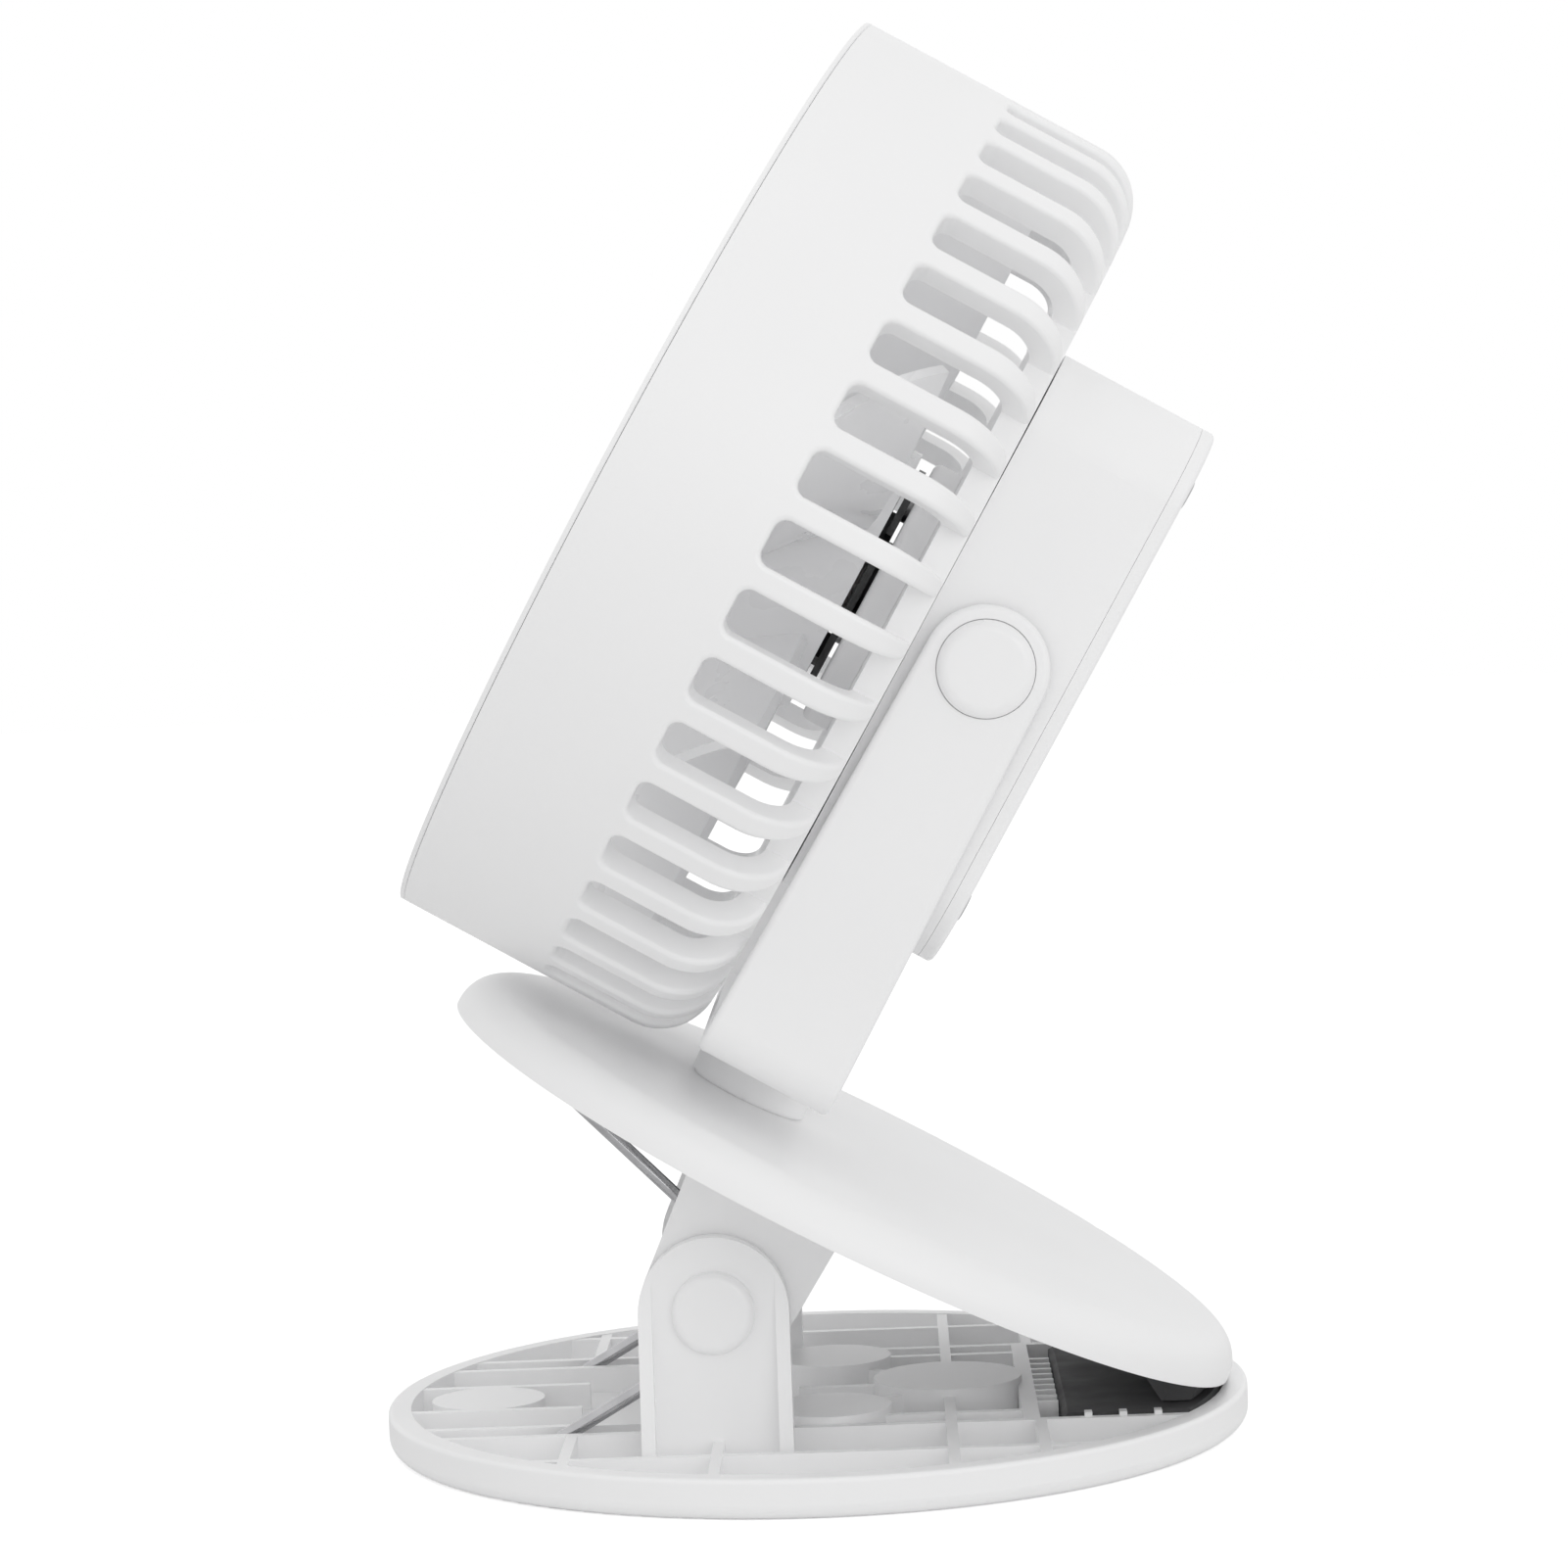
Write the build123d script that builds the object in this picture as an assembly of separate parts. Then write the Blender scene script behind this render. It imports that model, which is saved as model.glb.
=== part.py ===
from build123d import *
import math
import os

# Clip fan. Millimetres and degrees, +Z up, origin at the middle of the base's underside.
# The hinge of the clip and the tilt axis of the head run along X, the jaw tips point to +Y
# and the fan blows to -Y.

# ---- sizes: base ----
base_diameter = 144.0
base_height = 6.5
base_floor = 2.0
rim_width = 3.8
base_lower_round = 2.4
base_upper_round = 0.8
rib_width = 1.8
rib_drop = 0.15            # rib tops lie this far under the rim
boss_rise = 1.2            # the main boss and the pair of bosses stand this far over the ribs
tab_rise = 0.7             # and so do the small tabs beside the lower pad
inner_rib_x = 25.0         # the spring's leg lies between the inner and the outer rib
outer_rib_x = 32.5
side_rib_x = 52.0
tail_rib_x = 10.0
tail_cross_y = -39.0
ear_cross_y = -15.0
boss_cross_y = 22.0
main_boss_radius = 12.4
pair_boss_radius = 10.0
pair_boss_x = 21.5
pair_boss_y = 2.5
tail_boss_radius = 9.5
tail_boss_y = -55.5
comb_count = 9
comb_pitch = 4.6
grip_ring_radius = 60.0    # outer radius of the rubber ring let into the underside
grip_ring_width = 7.0
grip_ring_depth = 1.0

# ---- sizes: clip ----
hinge_y = -15.1
hinge_z = 26.9
ear_inner_x = 38.0
ear_web = 3.5
ear_radius = 12.0
ear_flange = 2.2
ear_flange_reach = 5.0
axle_radius = 2.5
running_gap = 0.05         # radial clearance of a turning fit
side_gap = 0.4             # free space beside a part that turns
seat_gap = 0.3             # soft or curved faces of different parts
cap_radius = 6.6
cap_height = 2.1
cap_plug_radius = 5.4
cap_plug_depth = 1.2
plate_inset = 0.5          # the top plate's radius is this much less than the base's
plate_thickness = 6.8
plate_wall = 2.2
plate_straight = 0.4       # straight part of the plate's side, under its large rounding
plate_lift = 21.64         # from the hinge axis up to the plate's lower edge
jaw_tip_inset = 3.27       # with the clip closed the plate's tip lies this far inside the base's edge
jaw_gap = 0.33             # and this far over its top
cheek_thickness = 2.8
cheek_spread = 14.0        # half width of a cheek where it meets the plate
flange_thickness = 2.0
flange_half_length = 18.0
pad_half_width = 30.0
pad_depth = 32.0           # from the base's edge back to the lower pad's inner end
pad_chamfer = 0.9
upper_pad_half_width = 24.0
upper_pad_inset = 3.0      # from the plate's tip back to the upper pad's outer end
upper_pad_flat = 8.0       # length of the part that lies along the lower pad
upper_pad_length = 18.0

# ---- sizes: spring ----
wire_diameter = 2.2
coil_radius = 6.2
coil_turns = 4
coil_pitch = 2.7
lower_leg_x = 28.6
lower_leg_slope = 29.5
upper_leg_reach = 44.0
spring_corner = 4.0

# ---- sizes: swivel and yoke ----
swivel_y = -9.2            # along the plate, from the hinge axis
swivel_radius = 10.3
swivel_stub_radius = 6.0
swivel_screw_radius = 1.6
washer_thickness = 1.0
yoke_lean = 2.5
arm_thickness = 3.6
arm_gap = 0.9              # between the box and an arm, filled by the tilt washer
washer_gap = 0.03
arm_height = 73.8          # from the yoke's underside to the tilt axis
arm_foot_width = 23.0
arm_head_width = 20.0
arm_edge_round = 1.0
bridge_thickness = 4.0
yoke_fillet = 5.0
yoke_corner = 6.0          # outer lower corners, seen along y
knob_radius = 7.7
knob_gap = 0.1
knob_height = 3.3
knob_round = 1.8
knob_recess = 1.4
knob_wall = 1.2

# ---- sizes: head ----
head_diameter = 164.0
head_depth = 53.2
head_corner = 10.0
shell_wall = 2.2
fin_depth = 4.5
slot_count = 44
slot_width = 7.6
slot_start = 27.1          # from the front rim back to the first edge of a slot
slot_corner = 2.0
fin_round = 0.8            # rounding of a slot's edges on the drum's outside
grille_lip = 0.8
grille_gap = 0.08
grille_depth = 3.0
grille_bars = 40
grille_bar_width = 1.8
grille_bar_bow = 62.0
grille_hub_radius = 19.0
grille_rings = (38.0, 58.0)
tilt_axis_back = 65.6      # from the front rim back to the tilt axis
drum_hang = 6.2            # the drum hangs this far below the yoke's underside
drum_clearance = 2.15      # and this far over the top plate, on the swivel's axis
box_width = 92.0
box_length = 95.0
box_corner = 13.5
box_gap = 0.5
box_depth = 26.9
box_wall = 2.2
cover_thickness = 2.4
cover_seam = 0.05          # free space between the box and its cover
cover_round = 0.8
stub_radius = 4.5

# ---- sizes: fan and motor ----
hub_radius = 24.0
hub_wall = 1.8
hub_front = 16.0           # depths are measured back from the front rim
hub_rear = 41.2
blade_count = 7
blade_thickness = 1.6
blade_gap = 4.5            # free space between the blades' tips and the slotted shell
blade_chords = (29.0, 40.0, 46.0)      # at the hub, half way and at the tip
blade_pitches = (42.0, 32.0, 24.0)
blade_sweeps = (-6.0, 2.0, 14.0)
shaft_radius = 1.5
bell_wall = 1.0
cup_front = 43.8
board_thickness = 1.2
stator_radius = 19.0
bearing_radius = 5.0
bearing_width = 3.0
stand_wall = 1.6

# ---- sizes: inside and on the box ----
cell_diameter = 18.4
cell_length = 65.2
board_top_y = -22.0        # upper edge of the control board, over the fan's axis
button_radius = 5.5
button_height = 0.8
button_gap = 0.08
button_travel = 1.0
usb_width = 8.9
usb_height = 3.3
usb_depth = 7.4
screw_radius = 1.25
screw_head_radius = 2.6
screw_head_height = 1.5
cover_screw_recess = 0.9

# ---- places that follow from the sizes ----
UP = (Align.CENTER, Align.CENTER, Align.MIN)
base_radius = base_diameter / 2
tray_radius = base_radius - rim_width
rib_top = base_height - rib_drop
boss_top = rib_top + boss_rise
pad_inner_y = base_radius - pad_depth
plate_radius = base_radius - plate_inset
plate_edge_round = plate_thickness - plate_straight
plate_top = plate_lift + plate_thickness
plate_ceiling = plate_top - plate_wall
tip_y = base_radius - jaw_tip_inset - hinge_y
tip_z = base_height + jaw_gap - hinge_z
jaw_reach = math.sqrt(tip_y ** 2 + tip_z ** 2 - plate_lift ** 2)
jaw_angle = math.degrees(math.atan2(plate_lift, jaw_reach) - math.atan2(tip_z, tip_y))
plate_shift = jaw_reach - plate_radius
upper_pad_end = jaw_reach - upper_pad_inset
upper_pad_knee = upper_pad_end - upper_pad_flat
upper_pad_start = upper_pad_end - upper_pad_length
head_radius = head_diameter / 2
tilt_axis_drop = head_radius - arm_height - drum_hang
swivel_height = drum_hang + drum_clearance
blade_tip_radius = head_radius - fin_depth - blade_gap
back_thickness = fin_depth
back_inner = head_depth - back_thickness
box_front = head_depth + box_gap
box_back = box_front + box_depth
cover_front = box_back - cover_thickness
arm_inner_x = box_width / 2 + arm_gap
yoke_half_width = arm_inner_x + arm_thickness
knob_floor_x = yoke_half_width - knob_recess
cheek_outer_x = ear_inner_x - side_gap
cheek_inner_x = cheek_outer_x - cheek_thickness
upper_leg_x = lower_leg_x - coil_pitch * coil_turns - coil_pitch / 4
bell_radius = hub_radius - hub_wall - 0.1
cavity_radius = hub_radius - hub_wall

# The clip frame sits on the hinge axis: y runs along the plate to the jaw, z is its normal.
# jaw_reach is the plate's tip along that y, and jaw_angle the slope that brings it to the base.
clip_frame = Location((0, hinge_y, hinge_z), (-jaw_angle, 0, 0))
# The yoke frame sits on the swivel axis at the yoke's underside: z runs up the arms.
yoke_frame = clip_frame * Location((0, swivel_y, plate_top + swivel_height), (-yoke_lean, 0, 0))
# The head frame sits in the middle of the front rim: z is the way the fan blows, y is up.
# The tilt axis lies under the fan's axis by tilt_axis_drop, so that the drum hangs by drum_hang.
head_frame = yoke_frame * Location((0, -tilt_axis_back, arm_height + tilt_axis_drop), (90, 0, 0))


def disc(radius, start, end, x=0.0, y=0.0):
    """A round disc along z between two heights."""
    return Pos(x, y, start) * Cylinder(radius, end - start, align=UP)


def ring(outer, inner, start, end, x=0.0, y=0.0):
    """A ring along z between two heights."""
    return disc(outer, start, end, x, y) - disc(inner, start - 1, end + 1, x, y)


def block(x0, x1, y0, y1, z0, z1):
    """A box between two corners."""
    return Pos((x0 + x1) / 2, (y0 + y1) / 2, (z0 + z1) / 2) * Box(x1 - x0, y1 - y0, z1 - z0)


def rod(radius, x0, x1, y=0.0, z=0.0):
    """A round rod along x."""
    return Pos((x0 + x1) / 2, y, z) * Rot(0, 90, 0) * Cylinder(radius, x1 - x0)


def side_slab(outline, x0, x1):
    """A closed outline of (y, z) points, made solid between two x."""
    face = make_face(Polyline(*[(y, z) for y, z in outline], close=True))
    return Pos(x0, 0, 0) * extrude(Plane.YZ * face, x1 - x0)


def both_sides(shape):
    """The shape and its mirror image across the middle plane."""
    return [shape, mirror(shape, Plane.YZ)]


def group(shapes, frame=Location()):
    """Equal pieces that stay separate solids, placed by the frame."""
    return Compound([frame * shape for shape in shapes])


# ---------------------------------------------------------------- base
def tray_ribs():
    """The ribs on the tray's floor: long ones along y, cross ones along x, and webs."""
    low = base_floor - 0.5
    half = rib_width / 2
    edge = base_radius
    ribs = []
    for side in (-1, 1):
        for x in (outer_rib_x, side_rib_x):
            ribs.append(block(side * x - half, side * x + half, -edge, edge, low, rib_top))
        x = side * inner_rib_x
        ribs.append(block(x - half, x + half, -edge, pad_inner_y - comb_pitch, low, rib_top))
        x = side * tail_rib_x
        ribs.append(block(x - half, x + half, -edge, tail_cross_y, low, rib_top))
        near, far = sorted((side * outer_rib_x, side * edge))
        ribs.append(block(near, far, tail_cross_y - half, tail_cross_y + half, low, rib_top))
        near, far = sorted((side * (ear_inner_x + ear_web), side * edge))
        ribs.append(block(near, far, ear_cross_y - half, ear_cross_y + half, low, rib_top))
        web = math.hypot(pair_boss_x, boss_cross_y - pair_boss_y)
        turn = math.degrees(math.atan2(boss_cross_y - pair_boss_y, -side * pair_boss_x))
        middle = Pos(side * pair_boss_x / 2, (boss_cross_y + pair_boss_y) / 2, (low + rib_top) / 2)
        ribs.append(middle * Rot(0, 0, turn) * Box(web, rib_width, rib_top - low))
    ribs.append(block(-edge, edge, boss_cross_y - half, boss_cross_y + half, low, rib_top))
    ribs.append(block(-half, half, hinge_y + ear_radius, boss_cross_y, low, rib_top))
    return ribs


def jaw_comb():
    """The thick cross rib before the pad and the short comb ribs between the two."""
    low = base_floor - 0.5
    half = rib_width / 2
    wall_y = pad_inner_y - comb_pitch
    parts = [block(-outer_rib_x, outer_rib_x, wall_y - rib_width, wall_y + half, low, rib_top)]
    for side in (-1, 1):
        near, far = sorted((side * outer_rib_x, side * base_radius))
        parts.append(block(near, far, wall_y, wall_y + rib_width, low, rib_top))
    for side in (-1, 1):
        near, far = sorted((side * (pad_half_width + seat_gap), side * outer_rib_x))
        for y in (pad_inner_y + 4, pad_inner_y + 9.6, pad_inner_y + 15.2):
            parts.append(block(near, far, y - 0.6, y + 0.6, low, rib_top + tab_rise))
    for index in range(comb_count):
        x = (index - (comb_count - 1) / 2) * comb_pitch
        parts.append(block(x - 0.6, x + 0.6, wall_y, pad_inner_y - seat_gap, low, rib_top))
    return parts


def ear(side):
    """One hinge ear: a web with a round top, two gussets and the axle's bore."""
    x0 = ear_inner_x
    x1 = ear_inner_x + ear_web
    low = base_floor - 0.5
    body = block(x0, x1, hinge_y - ear_radius, hinge_y + ear_radius, low, hinge_z)
    body += rod(ear_radius, x0, x1, hinge_y, hinge_z)
    tip = hinge_z + ear_radius / 2
    wedge = Polyline((x1 - 1, low), (x1 + ear_flange_reach, low), (x1, tip), (x1 - 1, tip), close=True)
    gusset = extrude(Plane.XZ * make_face(wedge), ear_flange)
    body += Pos(0, hinge_y - ear_radius + ear_flange, 0) * gusset
    body += Pos(0, hinge_y + ear_radius, 0) * gusset
    trim = block(x0, x1 + ear_flange_reach, hinge_y - ear_radius, hinge_y + ear_radius, low, hinge_z)
    body = body & (trim + rod(ear_radius, x0, x1 + ear_flange_reach, hinge_y, hinge_z))
    body -= rod(axle_radius + running_gap, x0 - 1, x1 + 1, hinge_y, hinge_z)
    body -= rod(cap_plug_radius + running_gap, x1 - cap_plug_depth, x1 + 1, hinge_y, hinge_z)
    return body if side > 0 else mirror(body, Plane.YZ)


def make_base_plate():
    """The lower jaw: an open ribbed tray with the two hinge ears."""
    tray = disc(base_radius, 0, base_height)
    rims = tray.edges().filter_by(GeomType.CIRCLE).sort_by(Axis.Z)
    tray = fillet(rims[0], base_lower_round)
    tray = fillet(tray.edges().filter_by(GeomType.CIRCLE).sort_by(Axis.Z)[-1], base_upper_round)
    tray -= disc(tray_radius, base_floor, base_height + 1)
    low = base_floor - 0.5
    bosses = [
        disc(main_boss_radius, low, boss_top, 0, boss_cross_y),
        disc(tail_boss_radius, low, rib_top, 0, tail_boss_y),
    ]
    for side in (-1, 1):
        bosses.append(disc(pair_boss_radius, low, boss_top, side * pair_boss_x, pair_boss_y))
    inside = Part() + tray_ribs() + jaw_comb() + bosses
    inside = inside & disc(tray_radius + 0.5, 0, boss_top)
    pad_room = block(-pad_half_width - seat_gap, pad_half_width + seat_gap, pad_inner_y - seat_gap,
                     base_radius, base_floor, base_height + 1)
    inside -= pad_room & disc(tray_radius, 0, base_height + 1)
    base = tray + inside + ear(1) + ear(-1)
    base -= ring(grip_ring_radius + running_gap, grip_ring_radius - grip_ring_width - running_gap,
                 -1, grip_ring_depth)
    return base


def make_base_grip_ring():
    """The rubber ring let into the underside, flush with it."""
    return ring(grip_ring_radius, grip_ring_radius - grip_ring_width, 0, grip_ring_depth - running_gap)


def make_lower_jaw_pad():
    """The rubber block in the tip of the tray."""
    pad = block(-pad_half_width, pad_half_width, pad_inner_y, base_radius, base_floor, base_height)
    pad = pad & disc(tray_radius - seat_gap, 0, base_height + 1)
    return chamfer(pad.faces().sort_by(Axis.Z)[-1].edges(), pad_chamfer)


# ---------------------------------------------------------------- clip hinge
def make_hinge_axle():
    """The steel axle through ears and cheeks."""
    end = ear_inner_x + ear_web - cap_plug_depth - 0.1
    return chamfer(rod(axle_radius, -end, end, hinge_y, hinge_z).edges(), 0.4)


def make_hinge_caps():
    """The two domed caps that close the axle's bores."""
    start = ear_inner_x + ear_web
    cap = rod(cap_radius, start, start + cap_height, hinge_y, hinge_z)
    cap = fillet(cap.edges().sort_by(Axis.X)[-1], 1.4)
    cap += rod(cap_plug_radius, start - cap_plug_depth + running_gap, start + 0.5, hinge_y, hinge_z)
    return group(both_sides(cap))


def biarc(start, start_way, end, end_way):
    """Two tangent arcs from one point and direction to another."""
    chord = end - start
    ways = start_way + end_way
    turn = 2 * (1 - start_way.dot(end_way))
    reach = chord.dot(ways)
    step = (math.sqrt(reach * reach + turn * chord.dot(chord)) - reach) / turn
    first = start + start_way * step
    last = end - end_way * step
    joint = (first + last) / 2
    return [TangentArc(start, joint, tangent=start_way),
            TangentArc(joint, end, tangent=(last - first).normalized())]


def coil_points(entry, exit_angle):
    """Points and directions of one coil, a quarter turn or a little more apart."""
    total = 360 * coil_turns + exit_angle - entry
    count = 4 * coil_turns + 1
    points = []
    for index in range(count + 1):
        angle = math.radians(entry + total * index / count)
        x = lower_leg_x - (lower_leg_x - upper_leg_x) * index / count
        spot = Vector(x, hinge_y + coil_radius * math.cos(angle), hinge_z + coil_radius * math.sin(angle))
        rise = -(lower_leg_x - upper_leg_x) / math.radians(total)
        if index in (0, count):
            rise = 0
        way = Vector(rise, -coil_radius * math.sin(angle), coil_radius * math.cos(angle))
        points.append((spot, way.normalized()))
    return points


def spring_half():
    """Points and directions from the end of the lower leg to the end of the upper leg."""
    entry = lower_leg_slope - 90
    slope = math.radians(lower_leg_slope)
    seat = plate_lift - seat_gap - wire_diameter / 2
    target = math.degrees(math.atan2(seat, -upper_leg_reach)) - jaw_angle
    distance = math.hypot(seat, upper_leg_reach)
    heading = target + math.degrees(math.asin(coil_radius / distance))
    points = coil_points(entry, heading - 90)
    first = points[0][0]
    floor = base_floor + wire_diameter / 2 + seat_gap
    run = (first.Z - floor) / math.sin(slope)
    foot = first - Vector(0, math.cos(slope), math.sin(slope)) * run
    reach = math.sqrt(distance * distance - coil_radius * coil_radius)
    top = points[-1][0] + points[-1][1] * reach
    return foot, points, top


def least_gap(points):
    """The least gap between turns of the wire, measured on points along one coil."""
    samples = []
    for index in range(len(points) - 1):
        for arc in biarc(points[index][0], points[index][1], points[index + 1][0], points[index + 1][1]):
            samples += [arc @ (step / 6) for step in range(6)]
    least = 99.0
    for first in range(len(samples)):
        for second in range(first + 24, len(samples)):
            least = min(least, (samples[first] - samples[second]).length)
    return least - wire_diameter


def make_clip_spring():
    """A double torsion spring: two coils round the axle, two lower legs, one upper bow."""
    foot, points, top = spring_half()
    print("spring: least gap between turns", round(least_gap(points), 2))
    way = points[-1][1]
    corner = top - way * spring_corner
    inward = Vector(top.X - spring_corner, top.Y, top.Z)
    half = [Line(foot, points[0][0])]
    for index in range(len(points) - 1):
        half += biarc(points[index][0], points[index][1], points[index + 1][0], points[index + 1][1])
    half.append(Line(points[-1][0], corner))
    half.append(TangentArc(corner, inward, tangent=way))
    edges = [edge for piece in half for edge in piece.edges()]
    other = [mirror(edge, Plane.YZ) for edge in edges]
    bow = Line(inward, Vector(-inward.X, inward.Y, inward.Z)).edges()
    path = Wire(edges + list(bow) + [edge for piece in other for edge in piece.edges()])
    start = Plane(origin=foot, z_dir=points[0][0] - foot)
    return sweep(start * Circle(wire_diameter / 2), path=path)


# ---------------------------------------------------------------- upper jaw, in the clip frame
def dish(radius, height, corner):
    """A round body with a large rounded upper edge, standing on z = 0."""
    straight = height - corner
    outline = [Line((0, 0), (radius, 0))]
    if straight > 0:
        outline.append(Line((radius, 0), (radius, straight)))
    outline.append(ThreePointArc((radius, straight),
                                 (radius - corner * (1 - math.sqrt(0.5)), straight + corner * math.sqrt(0.5)),
                                 (radius - corner, height)))
    outline.append(Line((radius - corner, height), (0, height)))
    outline.append(Line((0, height), (0, 0)))
    return revolve(Plane.XZ * make_face(outline), Axis.Z)


def make_top_plate():
    """The upper jaw: an inverted ribbed dish, whose far end is pressed to open the clip."""
    plate = dish(plate_radius, plate_thickness, plate_edge_round)
    hollow = dish(plate_radius - plate_wall, plate_thickness - plate_wall, plate_edge_round - plate_wall)
    ribs = Part()
    half = rib_width / 2
    for x in (-inner_rib_x, inner_rib_x):
        ribs += block(x - half, x + half, -plate_radius, plate_radius, 0, plate_thickness)
    for y in (-upper_leg_reach, swivel_y - swivel_radius - 3, flange_half_length + 1, upper_pad_start - 2):
        ribs += block(-plate_radius, plate_radius, y - plate_shift - half, y - plate_shift + half,
                      0, plate_thickness)
    bracket_room = block(-ear_inner_x, ear_inner_x, -flange_half_length - plate_shift,
                         flange_half_length - plate_shift, -1, plate_thickness)
    pad_room = block(-upper_pad_half_width - seat_gap, upper_pad_half_width + seat_gap,
                     upper_pad_start - plate_shift - seat_gap, plate_radius, -1, plate_thickness)
    plate = plate - hollow + ((ribs - bracket_room - pad_room) & hollow)
    plate = Pos(0, plate_shift, plate_lift) * plate
    plate -= disc(swivel_stub_radius + running_gap, plate_lift, plate_top + 1, 0, swivel_y)
    for x, y in bracket_screw_places():
        plate -= disc(screw_radius, plate_ceiling - 1, plate_top - 0.8, x, y)
    return clip_frame * plate


def bracket_screw_places():
    """Where the four screws hold the bracket under the plate."""
    y = flange_half_length - 3
    x = cheek_inner_x - 6
    return [(-x, -y), (x, -y), (-x, y), (x, y)]


def make_clip_bracket():
    """Two cheeks on a flange under the plate, with the spring's two spools between them."""
    top = plate_ceiling
    outline = [(-ear_radius, 0), (-cheek_spread, top), (cheek_spread, top), (ear_radius, 0)]
    cheek = side_slab(outline, cheek_inner_x, cheek_outer_x)
    cheek += rod(ear_radius, cheek_inner_x, cheek_outer_x)
    cheek += rod(coil_radius - wire_diameter / 2 - 0.7, upper_leg_x - coil_pitch, cheek_inner_x + 1)
    flange = block(-cheek_outer_x, cheek_outer_x, -flange_half_length, flange_half_length,
                   top - flange_thickness, top)
    rear = block(-cheek_outer_x, cheek_outer_x, ear_radius - rib_width, ear_radius,
                 coil_radius + wire_diameter, top)
    bracket = flange + rear + both_sides(cheek)
    bracket -= rod(axle_radius + running_gap, -ear_inner_x, ear_inner_x)
    bracket -= disc(swivel_radius + 1.5, 0, top + 1, 0, swivel_y)
    for x, y in bracket_screw_places():
        bracket -= disc(screw_radius + 0.2, 0, top + 1, x, y)
    return clip_frame * bracket


def screw(x, y, seat, length, way):
    """A pan-head screw along z: its head's face lies on the seat, its thread goes the other way."""
    head = disc(screw_head_radius, 0, screw_head_height)
    head = fillet(head.edges().sort_by(Axis.Z)[-1], 0.6)
    head -= block(-1.6, 1.6, -0.35, 0.35, screw_head_height - 0.7, screw_head_height + 1)
    head -= block(-0.35, 0.35, -1.6, 1.6, screw_head_height - 0.7, screw_head_height + 1)
    head += disc(screw_radius - 0.05, -length, 0.3)
    turn = 0 if way > 0 else 180
    return Pos(x, y, seat) * Rot(turn, 0, 0) * head


def make_bracket_screws():
    """The four screws under the bracket's flange."""
    seat = plate_ceiling - flange_thickness
    screws = [screw(x, y, seat, flange_thickness + 1.0, -1) for x, y in bracket_screw_places()]
    return group(screws, clip_frame)


def make_upper_jaw_pad():
    """The rubber block under the jaw tip; its lower face lies along the lower pad."""
    def height_over_base(y, gap):
        """Height in the clip frame that stands over the base's top at the given gap."""
        slope = math.radians(jaw_angle)
        return (base_height + gap - hinge_z + y * math.sin(slope)) / math.cos(slope)
    top = plate_ceiling
    outline = [(upper_pad_start, top), (upper_pad_start, plate_lift),
               (upper_pad_knee, height_over_base(upper_pad_knee, seat_gap)),
               (upper_pad_end, height_over_base(upper_pad_end, seat_gap)), (upper_pad_end, top)]
    pad = side_slab(outline, -upper_pad_half_width, upper_pad_half_width)
    room = dish(plate_radius - plate_wall - seat_gap, plate_thickness - plate_wall,
                plate_edge_round - plate_wall - seat_gap)
    room = Pos(0, plate_shift, plate_lift) * room
    below = disc(plate_radius - plate_wall - seat_gap, 0, plate_lift + 0.5, 0, plate_shift)
    return clip_frame * (pad & (room + below))


def make_swivel_washer():
    """The friction washer under the plate, round the yoke's stub."""
    top = plate_ceiling - running_gap
    return clip_frame * ring(swivel_radius, swivel_screw_radius + seat_gap, top - washer_thickness, top,
                             0, swivel_y)


def make_swivel_screw():
    """The shouldered screw that holds the yoke down on the plate."""
    seat = plate_ceiling - running_gap - washer_thickness
    head = disc(4.2, seat - 2.2, seat, 0, swivel_y)
    head = fillet(head.edges().sort_by(Axis.Z)[0], 0.7)
    head += disc(swivel_screw_radius, seat - 0.5, plate_top + swivel_height - 1.0, 0, swivel_y)
    slot = block(-2.6, 2.6, swivel_y - 0.5, swivel_y + 0.5, seat - 3, seat - 1.4)
    cross = block(-0.5, 0.5, swivel_y - 2.6, swivel_y + 2.6, seat - 3, seat - 1.4)
    return clip_frame * (head - slot - cross)


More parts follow.
